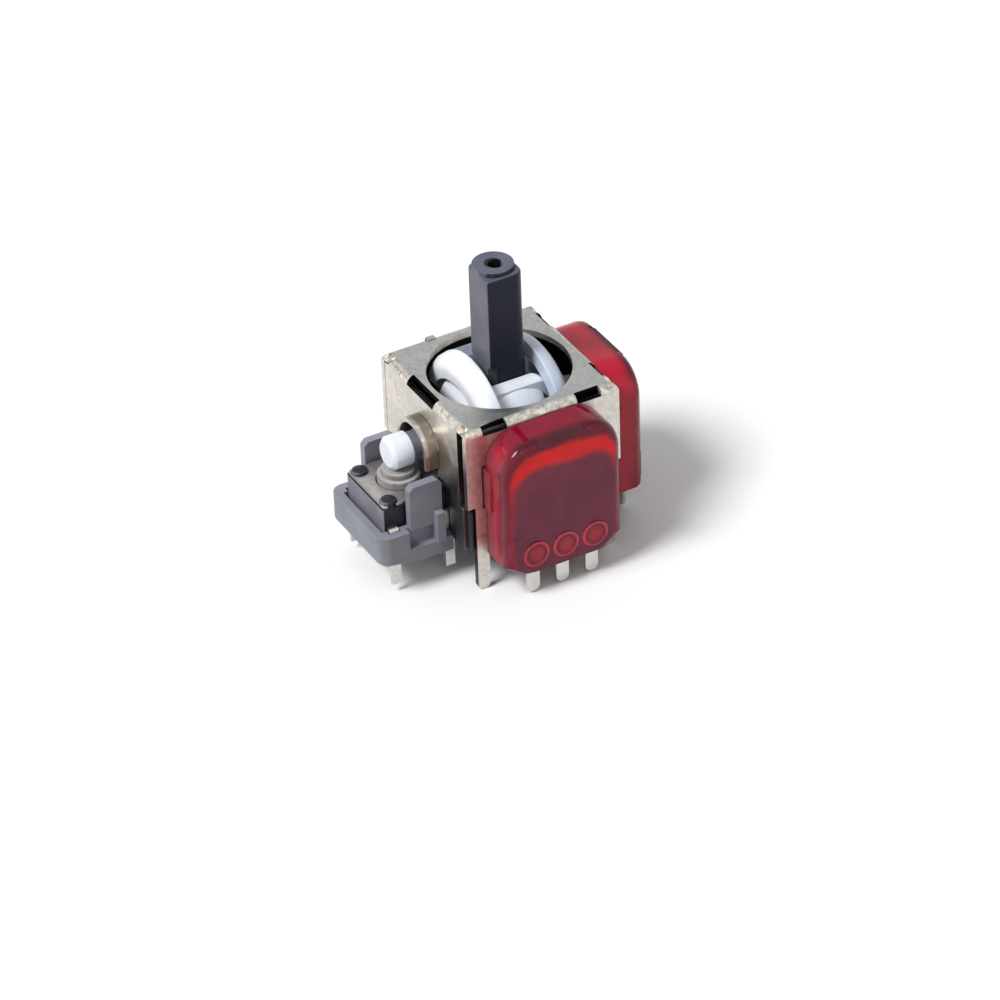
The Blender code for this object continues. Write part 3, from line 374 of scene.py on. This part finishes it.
def mouldedPlastic(name, look):
    material, tree, shader = newMaterial(name)
    tone = cloudsOf(tree, noiseOf(tree, look["cloudScale"], "softCloud"), look["low"], look["high"])
    tone = paintedSideLight(tree, look, tone)
    if "hole" in look:
        tone = paintedHoleShade(tree, look, tone)
    if "shade" in look:
        tone = shadedPart(tree, look, tone)
    if "neck" in look:
        tone = darkNeck(tree, look, tone)
    tree.links.new(tone, shader.inputs["Base Color"])
    shader.inputs["Specular IOR Level"].default_value = look.get("sheen", patterns["plainSheen"])
    uneven = unevenOf(tree, look["cloudScale"] * patterns["plasticUneven"], look)
    tree.links.new(uneven, shader.inputs["Roughness"])
    grain = noiseOf(tree, look["bumpScale"], "thinCloud")
    tree.links.new(bumpOf(tree, grain, look["bump"], patterns["plasticGrain"]), shader.inputs["Normal"])
    if "scatter" in look:
        shader.inputs["Subsurface Weight"].default_value = look["scatter"]
        shader.inputs["Subsurface Radius"].default_value = patterns["scatterRadius"]
        shader.inputs["Subsurface Scale"].default_value = patterns["scatterScale"]
    return material


def paintedHoleShade(tree, look, colour):
    # Painted shade in the hole down the lever's middle
    x, y, _ = splitOf(tree, "Object")
    length = lengthOf(tree, mathOf(tree, "SUBTRACT", x, look["holeX"]), mathOf(tree, "SUBTRACT", y, look["holeY"]))
    return mixColours(tree, stepOf(tree, length, *look["hole"]), colour, look["holeShadeColour"])


def shadedPart(tree, look, colour):
    # The part of an arm that the other arm and the lever keep in shade
    x, _, z = splitOf(tree, "Object")
    shade = stepOf(tree, x, *look["shade"])
    if "shadeRise" in look:
        shade = productOf(tree, shade, stepOf(tree, z, *look["shadeRise"]))
    if "head" in look:
        shade = productOf(tree, shade, mathOf(tree, "SUBTRACT", 1.0, stepOf(tree, x, *look["head"])))
    return tinted(tree, shade, colour, look["shadeTint"])


def darkNeck(tree, look, colour):
    # The pin between its head and the frame's wall lies in the collar's shade
    x, _, _ = splitOf(tree, "Object")
    neck = productOf(tree, stepOf(tree, x, *look["head"]), stepOf(tree, x, *look["neck"]))
    return tinted(tree, neck, colour, look["neckTint"])


def clearRedWithPaintedLight(name, look, side):
    # Red clear plastic with painted light: a painted glow of light through the clear wall in a bright arch round the
    # darker plate that stands behind it, with painted shade on the rims
    material, tree, shader = newMaterial(name, roughness=look["roughness"])
    x, y, z = splitOf(tree, "Object")
    facingX, facingY, facingZ = splitOf(tree, "Normal")
    if side == "front":
        across, outward, sideways = x, mathOf(tree, "MULTIPLY", y, -1.0), facingX
    else:
        across, outward, sideways = y, x, facingY
    depth = mathOf(tree, "SUBTRACT", outward, look["wallPlace"])
    swirl = noiseOf(tree, look["swirlScale"], "swirl")
    wander = mathOf(tree, "MULTIPLY", mathOf(tree, "SUBTRACT", swirl, 0.5), look["swirlReach"])
    plate = mathOf(tree, "ADD", archDistance(tree, across, z, *look["plate"]), wander)
    room = mathOf(tree, "ADD", archDistance(tree, across, z, *look["room"]), wander)

    # The outer face, from the plate to the rim, with the painted glow brightening upwards, and a painted bright band
    # across the side walls
    height = mathOf(tree, "ADD", z, mathOf(tree, "MULTIPLY", swirl, look["fadeSwirl"]))
    clear = mixColours(tree, stepOf(tree, height, *look["fadeSpan"]), look["dim"], look["bright"])
    face = mixColours(tree, stepOf(tree, plate, *look["plateEdge"]), look["plateColour"], clear)
    face = mixColours(tree, stepOf(tree, room, *look["roomEdge"]), face, look["rim"])
    band = rampOf(tree, mathOf(tree, "DIVIDE", mathOf(tree, "ADD", depth, wander), look["depth"]), look["bandStops"])
    onFace = stepOf(tree, depth, *look["faceSpan"])
    colour = mixColours(tree, onFace, band, face)

    # The top and the two sides, in painted light that differs between the front and the right cover
    crown = mixColours(tree, stepOf(tree, depth, *look["crownSpan"]), look[side + "Crown"], look["crownDark"])
    colour = mixColours(tree, stepOf(tree, facingZ, *patterns["crownTurn"]), colour, crown)
    flank = mixColours(tree, look["flankMix"], colour, look[side + "Flank"])
    onFlank = stepOf(tree, mathOf(tree, "ABSOLUTE", sideways), *patterns["flatTurn"])
    colour = mixColours(tree, onFlank, colour, flank)

    # The three ringed bosses over the terminals, with painted light through them and a painted highlight round their
    # rims
    fold = mathOf(tree, "ABSOLUTE", across)
    beside = mathOf(tree, "ABSOLUTE", mathOf(tree, "SUBTRACT", fold, look["bossPitch"]))
    fold = mathOf(tree, "MINIMUM", fold, beside)
    apart = lengthOf(tree, fold, mathOf(tree, "SUBTRACT", z, look["bossHeight"]))
    boss = rampOf(tree, mathOf(tree, "DIVIDE", apart, look["bossReach"]), look["bossStops"])
    near = stepOf(tree, apart, *look["bossEdge"])
    colour = mixColours(tree, productOf(tree, near, onFace), colour, boss)

    cloudy = cloudsOf(tree, noiseOf(tree, look["cloudScale"], "thinCloud"), greyOf(look["cloudLow"]), greyOf(1))
    colour = mixColours(tree, 1.0, colour, cloudy, "MULTIPLY")
    tree.links.new(colour, shader.inputs["Base Color"])
    shader.inputs["Transmission Weight"].default_value = look["transmission"]
    shader.inputs["IOR"].default_value = patterns["redIndex"]
    shader.inputs["Specular IOR Level"].default_value = look["sheen"]
    ripple = noiseOf(tree, look["bumpScale"], "ripple")
    tree.links.new(bumpOf(tree, ripple, look["bump"], patterns["steelGrain"]), shader.inputs["Normal"])
    return material


# Spans and near-black tone of the painted shade on the sheet's inner faces and cut faces
insideFaces = {
    "turned": (0.55, 0.8), "upright": (0.35, 0.15), "skin": (6.44 * mm, 6.36 * mm), "below": (11.8 * mm, 11.7 * mm),
    "walls": (6.6 * mm, 6.55 * mm), "hole": (5.8 * mm, 5.7 * mm), "holeRim": (11.45 * mm, 11.52 * mm),
    "collar": (-6.53 * mm, -6.58 * mm), "lug": (12.0 * mm, 12.03 * mm), "cornerTop": (11.42 * mm, 11.5 * mm),
    "cornerSide": (5.0 * mm, 5.1 * mm), "seamLight": 0.22, "tone": (0.012, 0.012, 0.015),
}

looks = {
    "frameSteel": {
        "metallic": 0.9, "cool": (0.60, 0.58, 0.54), "warm": (0.74, 0.69, 0.62), "cloudScale": 300,
        "speckScale": 2400, "speckDark": (0.70, 0.68, 0.64), "speckMix": 0.6,
        "smooth": 0.26, "rough": 0.44, "bumpScale": 3000, "bump": 0.4,
        # Painted reflection on the top, painted red light from the cover on the front
        "paintedTopReflection": (0.60, 0.64, 0.69),
        "paintedRedCoverLight": (0.80, 0.46, 0.48), "pinkSpan": (-4.4 * mm, -5.0 * mm), "pinkRise": (0.5 * mm, 3.0 * mm),
        # Painted dark reflection low on the left wall
        "duskTint": (0.20, 0.21, 0.25), "duskSlope": 0.9, "duskSpan": (1.0 * mm, 6.6 * mm),
        "duskScale": 520, "duskUneven": 0.35, "duskEdge": (0.95, 0.25),
        "stainPlace": (-6.5 * mm, -2.6 * mm, 8.2 * mm), "stainScale": 1500, "stainReach": 1.6 * mm,
        "stainSpan": (2.9 * mm, 1.5 * mm), "stainMix": 0.62, "stainColour": (0.18, 0.15, 0.12),
        "collarRoot": (-6.52 * mm, -6.6 * mm), "collarLip": (-7.4 * mm, -7.2 * mm),
        "collarMix": 0.8, "collarTone": (0.15, 0.125, 0.09),
        "foldSpan": (10.9 * mm, 11.3 * mm), "foldScale": 2100, "foldMix": 0.6,
        "foldStops": (
            (0.36, (0.20, 0.17, 0.12)), (0.46, (0.50, 0.46, 0.38)), (0.56, (0.74, 0.70, 0.62)),
            (0.64, (0.98, 0.96, 0.90))),
        "inside": insideFaces,
    },
    "foldEdge": {
        "metallic": 0.85, "cool": (0.74, 0.71, 0.66), "warm": (0.36, 0.32, 0.27), "cloudScale": 1300,
        "speckScale": 5200, "speckDark": (0.30, 0.27, 0.24), "speckMix": 0.85,
        "smooth": 0.22, "rough": 0.5, "bumpScale": 5200, "bump": 0.9,
        "inside": insideFaces,
    },
    "terminalSteel": {
        "metallic": 1.0, "cool": (0.60, 0.60, 0.60), "warm": (0.66, 0.64, 0.60), "cloudScale": 600,
        "speckScale": 3000, "speckDark": (0.7, 0.7, 0.7), "speckMix": 0.4,
        "smooth": 0.25, "rough": 0.42, "bumpScale": 3000, "bump": 0.3,
    },
    "plateSteel": {
        "metallic": 0.9, "cool": (0.42, 0.41, 0.42), "warm": (0.52, 0.48, 0.46), "cloudScale": 700,
        "speckScale": 3000, "speckDark": (0.6, 0.6, 0.6), "speckMix": 0.5,
        "smooth": 0.3, "rough": 0.45, "bumpScale": 3500, "bump": 0.4,
    },
    "whitePlastic": {
        "low": (0.70, 0.73, 0.79), "high": (0.83, 0.85, 0.88), "cloudScale": 520,
        "smooth": 0.28, "rough": 0.44, "bumpScale": 2500, "bump": 0.15, "scatter": 0.2,
        # Painted shade on the arm's front-facing sides
        "paintedSideTones": (("Y", -1, (0.86, 0.88, 0.92)),),
        "shade": (0.5 * mm, 2.2 * mm), "shadeTint": (0.70, 0.76, 0.86),
    },
    "crossPlastic": {
        "low": (0.66, 0.70, 0.78), "high": (0.74, 0.78, 0.85), "cloudScale": 520,
        "smooth": 0.28, "rough": 0.44, "bumpScale": 2500, "bump": 0.15,
        "shade": (-1.2 * mm, -2.2 * mm), "shadeTint": (0.44, 0.41, 0.42), "shadeRise": (10.6 * mm, 9.8 * mm),
        "head": (-6.1 * mm, -6.4 * mm), "neck": (-7.95 * mm, -7.9 * mm), "neckTint": (0.22, 0.22, 0.24),
    },
    "leverPlastic": {
        "low": (0.095, 0.096, 0.122), "high": (0.135, 0.136, 0.165), "cloudScale": 500,
        "smooth": 0.28, "rough": 0.42, "bumpScale": 3600, "bump": 0.45, "sheen": 0.18,
        # Where the painted shade of the lever's hole sits, and its colour
        "holeX": -0.1 * mm, "holeY": 0.2 * mm, "hole": (0.69 * mm, 0.6486 * mm), "holeShadeColour": (0.004, 0.004, 0.005),
        # Painted light and shade: front, back, right side and top darkened against the lighter left side
        "paintedSideTones": (
            ("Y", -1, (0.12, 0.14, 0.20)), ("Y", 1, (0.2, 0.22, 0.28)), ("X", 1, (0.3, 0.32, 0.36)),
            ("Z", 1, (0.82, 0.88, 1.0))),
    },
    "blackPlastic": {
        "low": (0.010, 0.010, 0.012), "high": (0.020, 0.020, 0.023), "cloudScale": 500,
        "smooth": 0.35, "rough": 0.5, "bumpScale": 3000, "bump": 0.3,
    },
    "greyPlastic": {
        "low": (0.22, 0.225, 0.265), "high": (0.28, 0.29, 0.335), "cloudScale": 420,
        "smooth": 0.38, "rough": 0.52, "bumpScale": 3200, "bump": 0.35, "sheen": 0.35,
        # Painted shade on the tray's front, left side and top
        "paintedSideTones": (("Y", -1, (0.78, 0.74, 0.74)), ("X", -1, (0.8, 0.8, 0.82)), ("Z", 1, (0.86, 0.86, 0.88))),
    },
    "switchPlastic": {
        "low": (0.13, 0.13, 0.15), "high": (0.20, 0.20, 0.225), "cloudScale": 600,
        "smooth": 0.3, "rough": 0.45, "bumpScale": 3200, "bump": 0.3, "sheen": 0.25,
        # Painted shade on the switch's front, back, right side and top
        "paintedSideTones": (
            ("Y", -1, (0.06, 0.07, 0.10)), ("Y", 1, (0.1, 0.1, 0.12)), ("X", 1, (0.1, 0.1, 0.12)),
            ("Z", 1, (0.08, 0.085, 0.11))),
    },
    "buttonPlastic": {
        "low": (0.28, 0.27, 0.268), "high": (0.37, 0.355, 0.352), "cloudScale": 500,
        "smooth": 0.4, "rough": 0.55, "bumpScale": 3000, "bump": 0.25,
        # Painted shade on the button's front and left side
        "paintedSideTones": (("Y", -1, (0.5, 0.48, 0.49)), ("X", -1, (0.7, 0.68, 0.68))),
    },
    "rotorPlastic": {
        "low": (0.30, 0.26, 0.27), "high": (0.38, 0.33, 0.34), "cloudScale": 500,
        "smooth": 0.4, "rough": 0.55, "bumpScale": 3000, "bump": 0.2,
    },
    "boardLaminate": {
        "low": (0.10, 0.03, 0.05), "high": (0.14, 0.05, 0.07), "cloudScale": 500,
        "smooth": 0.35, "rough": 0.5, "bumpScale": 2600, "bump": 0.2,
    },
    "coverRed": {
        # Painted glow of light through the clear wall, bright above and dim below; the plate seen through; painted
        # shade on the rim
        "bright": (0.97, 0.012, 0.014), "dim": (0.42, 0.020, 0.042), "plateColour": (0.215, 0.030, 0.066),
        "rim": (0.17, 0.010, 0.026), "plate": (4.0 * mm, 8.9 * mm, 1.6 * mm), "room": (4.4 * mm, 10.5 * mm, 2.0 * mm),
        "plateEdge": (-0.15 * mm, 0.6 * mm), "roomEdge": (-0.25 * mm, 0.3 * mm),
        "fadeSpan": (6.4 * mm, 9.6 * mm), "fadeSwirl": 1.2 * mm, "faceSpan": (2.2 * mm, 2.7 * mm),
        "wallPlace": 6.5 * mm, "depth": 2.94 * mm,
        # A painted bright band across the side walls, darker at both ends
        "bandStops": (
            (0.02, (0.16, 0.010, 0.022)), (0.22, (0.30, 0.012, 0.032)), (0.42, (0.56, 0.016, 0.036)),
            (0.66, (0.42, 0.014, 0.034)), (0.82, (0.16, 0.008, 0.022))),
        # Painted light on the tops and sides, different for the front and the right cover
        "frontCrown": (0.24, 0.004, 0.024), "rightCrown": (0.52, 0.008, 0.032), "crownDark": (0.075, 0.004, 0.014),
        "crownSpan": (1.7 * mm, 2.6 * mm),
        "frontFlank": (0.20, 0.045, 0.065), "rightFlank": (0.50, 0.030, 0.055), "flankMix": 0.55,
        "bossPitch": 2.5 * mm, "bossHeight": 1.65 * mm, "bossReach": 1.09 * mm, "bossEdge": (1.112 * mm, 1.046 * mm),
        # Painted light through the bosses, with a painted highlight at their rims
        "bossStops": (
            (0.30, (0.50, 0.040, 0.062)), (0.60, (0.36, 0.030, 0.055)), (0.70, (0.20, 0.020, 0.040)),
            (0.80, (0.42, 0.034, 0.058)), (0.92, (0.78, 0.070, 0.090))),
        "cloudScale": 420, "cloudLow": 0.72, "swirlScale": 330, "swirlReach": 1.3 * mm, "roughness": 0.12,
        "transmission": 0.05, "sheen": 0.2, "bumpScale": 600, "bump": 0.1,
    },
}

metals = ("frameSteel", "foldEdge", "terminalSteel", "plateSteel")
materials = {}
for name, look in looks.items():
    if name in metals:
        materials[name] = platedSteel(name, look)
    elif name == "coverRed":
        # The two covers are one red, with painted light that differs on their tops and sides
        materials["frontRed"] = clearRedWithPaintedLight("frontRed", look, "front")
        materials["rightRed"] = clearRedWithPaintedLight("rightRed", look, "right")
    else:
        materials[name] = mouldedPlastic(name, look)
print("materials made:", len(materials))


# Pieces that keep the solid's form and get fine edges

def bodyOf(nodeName):
    return next(body for body, members in frame["record"]["behaviour"]["bodies"].items() if nodeName in members)


def cutAcross(piece, places):
    # Adds rings of edges across X at the given places, so that the form can change between them
    makeActive(piece)
    bpy.ops.object.mode_set(mode="EDIT")
    for place in places:
        bpy.ops.mesh.select_all(action="SELECT")
        bpy.ops.mesh.bisect(plane_co=(place, 0, 0), plane_no=(1, 0, 0))
    bpy.ops.object.mode_set(mode="OBJECT")


frameForm = {
    "collarRoot": -6.55 * mm, "collarShare": 0.6, "lugFoot": 0.1 * mm, "lugDrop": 0.19 * mm,
    "seamSide": -5.95 * mm, "seamEdge": 5.15 * mm, "seamNear": 0.02 * mm,
    "seamLow": 4.8 * mm, "seamTop": 11.45 * mm, "seamShut": 5.95 * mm,
}


def shapeFrame(piece):
    # A shorter collar, a lower lug on the back edge and a closed seam at the rear left corner
    for vertex in piece.data.vertices:
        point = vertex.co
        if point.x < frameForm["collarRoot"]:
            past = frameForm["collarRoot"] - point.x
            point.x = frameForm["collarRoot"] - past * frameForm["collarShare"]
        if point.z > frameTop + frameForm["lugFoot"]:
            point.z -= frameForm["lugDrop"]
        onSeam = point.x < frameForm["seamSide"] and abs(point.y - frameForm["seamEdge"]) < frameForm["seamNear"]
        if onSeam and frameForm["seamLow"] < point.z < frameForm["seamTop"]:
            point.y = frameForm["seamShut"]


coverForm = {"face": 9.35 * mm, "top": 11.4 * mm, "half": 2.1 * mm, "drop": 0.42 * mm}


def shapeCover(piece):
    # The block over the top edge leans down with the rounded edge
    for vertex in piece.data.vertices:
        point = vertex.co
        out = max(-point.y, point.x)
        aside = min(abs(point.x), abs(point.y))
        if out > coverForm["face"] and point.z > coverForm["top"] and aside < coverForm["half"]:
            point.z -= coverForm["drop"]


pinForm = {
    "rings": (-8.05 * mm, -7.9 * mm, -7.1 * mm, -6.9 * mm), "neck": (-8.0 * mm, -7.0 * mm), "share": 0.86,
}


def shapePin(piece):
    # A neck between the pin's head and the collar
    cutAcross(piece, pinForm["rings"])
    low, high = pinForm["neck"]
    ring = [v.co for v in piece.data.vertices if v.co.x < high]
    middleZ = (min(p.z for p in ring) + max(p.z for p in ring)) / 2
    for vertex in piece.data.vertices:
        if low < vertex.co.x < high:
            vertex.co.y *= pinForm["share"]
            vertex.co.z = middleZ + (vertex.co.z - middleZ) * pinForm["share"]


shapers = {"cover_front": shapeCover, "cover_right": shapeCover, "frame": shapeFrame, "lower_arm": shapePin}


def finePiece(nodeName, pieceName, width, *finish):
    piece = copyNode(nodeName, pieceName)
    if nodeName in shapers:
        shapers[nodeName](piece)
    setMaterials(piece, *[materials[name] for name in finish])
    softenEdges(piece, width, 1 if len(finish) > 1 else -1)  # a second finish goes on the rounded edges
    shadeByAngle(piece)
    evenNormals(piece)
    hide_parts(nodeName)
    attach(piece, bodyOf(nodeName))


finePieces = {
    "frame": ("steelFrame", 0.06 * mm, ("frameSteel", "foldEdge")),
    "base": ("baseMoulding", 0.08 * mm, ("blackPlastic",)),
    "lever": ("stickShaft", 0.06 * mm, ("leverPlastic",)),
    "upper_arm": ("domedArm", 0.12 * mm, ("whitePlastic",)),
    "lower_arm": ("crossArm", 0.05 * mm, ("crossPlastic",)),
    "cover_front": ("frontCover", 0.08 * mm, ("frontRed",)),
    "cover_right": ("rightCover", 0.08 * mm, ("rightRed",)),
    "switch_bracket": ("switchTray", 0.1 * mm, ("greyPlastic",)),
    "switch_case": ("switchBody", 0.06 * mm, ("switchPlastic",)),
    "switch_plate": ("switchTop", 0.03 * mm, ("plateSteel",)),
    "switch_plunger": ("switchButton", 0.08 * mm, ("buttonPlastic",)),
}
for nodeName, (pieceName, width, finish) in finePieces.items():
    finePiece(nodeName, pieceName, width, *finish)
    print("piece made:", pieceName)

plainFinish = {
    "lever_pin": "terminalSteel", "centring_spring": "terminalSteel", "centring_plunger": "whitePlastic",
    "switch_dome": "plateSteel",
}
for side in ("front", "right"):
    plainFinish["rotor_" + side] = "rotorPlastic"
    plainFinish["magnet_" + side] = "plateSteel"
    plainFinish["sensor_board_" + side] = "boardLaminate"
    for number in (1, 2, 3):
        plainFinish[f"terminal_{side}_{number}"] = "terminalSteel"
for number in (1, 2, 3, 4):
    plainFinish[f"switch_terminal_{number}"] = "terminalSteel"
for nodeName, finish in plainFinish.items():
    setMaterials(nodes[nodeName], materials[finish])
print("other nodes finished:", len(plainFinish))


# Floor, light and camera

stageLook = {
    "floorSize": 2.0, "floorRoughness": 0.8, "floorColour": (0.88, 0.88, 0.88), "floorBounce": (0.48, 0.48, 0.48),
    "worldColour": (1.0, 1.0, 1.0), "worldStrength": 0.46, "seenStrength": 1.0,
    "keyStrength": 3.0, "keyAngle": 22, "keyFrom": (-0.62, -0.08, 0.78), "keyAway": 0.3,
    "glintPower": 0.012, "glintSize": 0.035, "glintPlace": (-0.05, -0.16, 0.16),
}


def seenBy(tree, *rays):
    # 1 for rays of the given kinds and 0 for light that bounces on
    path = addNode(tree, "ShaderNodeLightPath")
    return largestOf(tree, *[path.outputs[ray] for ray in rays])


def buildStage(look):
    # The floor and the world look white, but light the object from below and around less than that
    deselectAll()
    bpy.ops.mesh.primitive_plane_add(size=look["floorSize"], location=(0, 0, frameLow.z))
    floor = bpy.context.active_object
    floor.name = "floor"
    material, tree, shader = newMaterial("floorPaper", roughness=look["floorRoughness"])
    seen = seenBy(tree, "Is Camera Ray", "Is Glossy Ray")
    tree.links.new(mixColours(tree, seen, look["floorBounce"], look["floorColour"]), shader.inputs["Base Color"])
    setMaterials(floor, material)

    world = bpy.data.worlds.new("studio")
    bpy.context.scene.world = world
    world.use_nodes = True
    tree = world.node_tree
    background = tree.nodes["Background"]
    background.inputs["Color"].default_value = (*look["worldColour"], 1)
    seen = seenBy(tree, "Is Camera Ray", "Is Glossy Ray", "Is Transmission Ray")
    span = addNode(tree, "ShaderNodeMapRange")
    tree.links.new(seen, span.inputs["Value"])
    span.inputs["To Min"].default_value = look["worldStrength"]
    span.inputs["To Max"].default_value = look["seenStrength"]
    tree.links.new(span.outputs["Result"], background.inputs["Strength"])


def aimAt(thing, target):
    direction = Vector(target) - thing.location
    thing.rotation_euler = direction.to_track_quat("-Z", "Y").to_euler()


def addSoftbox(name, place, target, power, size):
    light = bpy.data.lights.new(name, "AREA")
    light.energy = power
    light.shape = "DISK"
    light.size = size
    lamp = bpy.data.objects.new(name, light)
    lamp.location = place
    bpy.context.scene.collection.objects.link(lamp)
    aimAt(lamp, target)


def addSun(look):
    light = bpy.data.lights.new("keyLight", "SUN")
    light.energy = look["keyStrength"]
    light.angle = math.radians(look["keyAngle"])
    lamp = bpy.data.objects.new("keyLight", light)
    lamp.location = Vector(look["keyFrom"]) * look["keyAway"]
    bpy.context.scene.collection.objects.link(lamp)
    aimAt(lamp, (0, 0, 0))


buildStage(stageLook)
addSun(stageLook)
middle = (0, 0, frameTop / 2)
addSoftbox("glint", stageLook["glintPlace"], middle, stageLook["glintPower"], stageLook["glintSize"])

cameraSet = {
    "azimuth": -28.0452, "elevation": 35.1738, "roll": -2.1975, "distance": 371.08 * mm,
    "aimRight": -0.0642 * mm, "aimUp": 9.8519 * mm, "lens": 180.0, "sensor": 36.0,
}


def buildCamera(look):
    turn, rise, roll = (math.radians(look[key]) for key in ("azimuth", "elevation", "roll"))
    back = Vector((math.sin(turn) * math.cos(rise), -math.cos(turn) * math.cos(rise), math.sin(rise)))
    right = Vector((math.cos(turn), math.sin(turn), 0))
    up = back.cross(right)
    rolledRight = right * math.cos(roll) + up * math.sin(roll)
    rolledUp = up * math.cos(roll) - right * math.sin(roll)
    place = Vector((0, 0, frameTop)) + back * look["distance"]
    place += -rolledRight * look["aimRight"] - rolledUp * look["aimUp"]
    data = bpy.data.cameras.new("photoCamera")
    data.lens = look["lens"]
    data.sensor_width = look["sensor"]
    camera = bpy.data.objects.new("photoCamera", data)
    bpy.context.scene.collection.objects.link(camera)
    axes = Matrix((rolledRight, rolledUp, back)).transposed().to_4x4()
    camera.matrix_world = Matrix.Translation(place) @ axes
    bpy.context.scene.camera = camera


buildCamera(cameraSet)
bpy.context.scene.view_settings.view_transform = "Standard"
print("stage, light and camera ready")
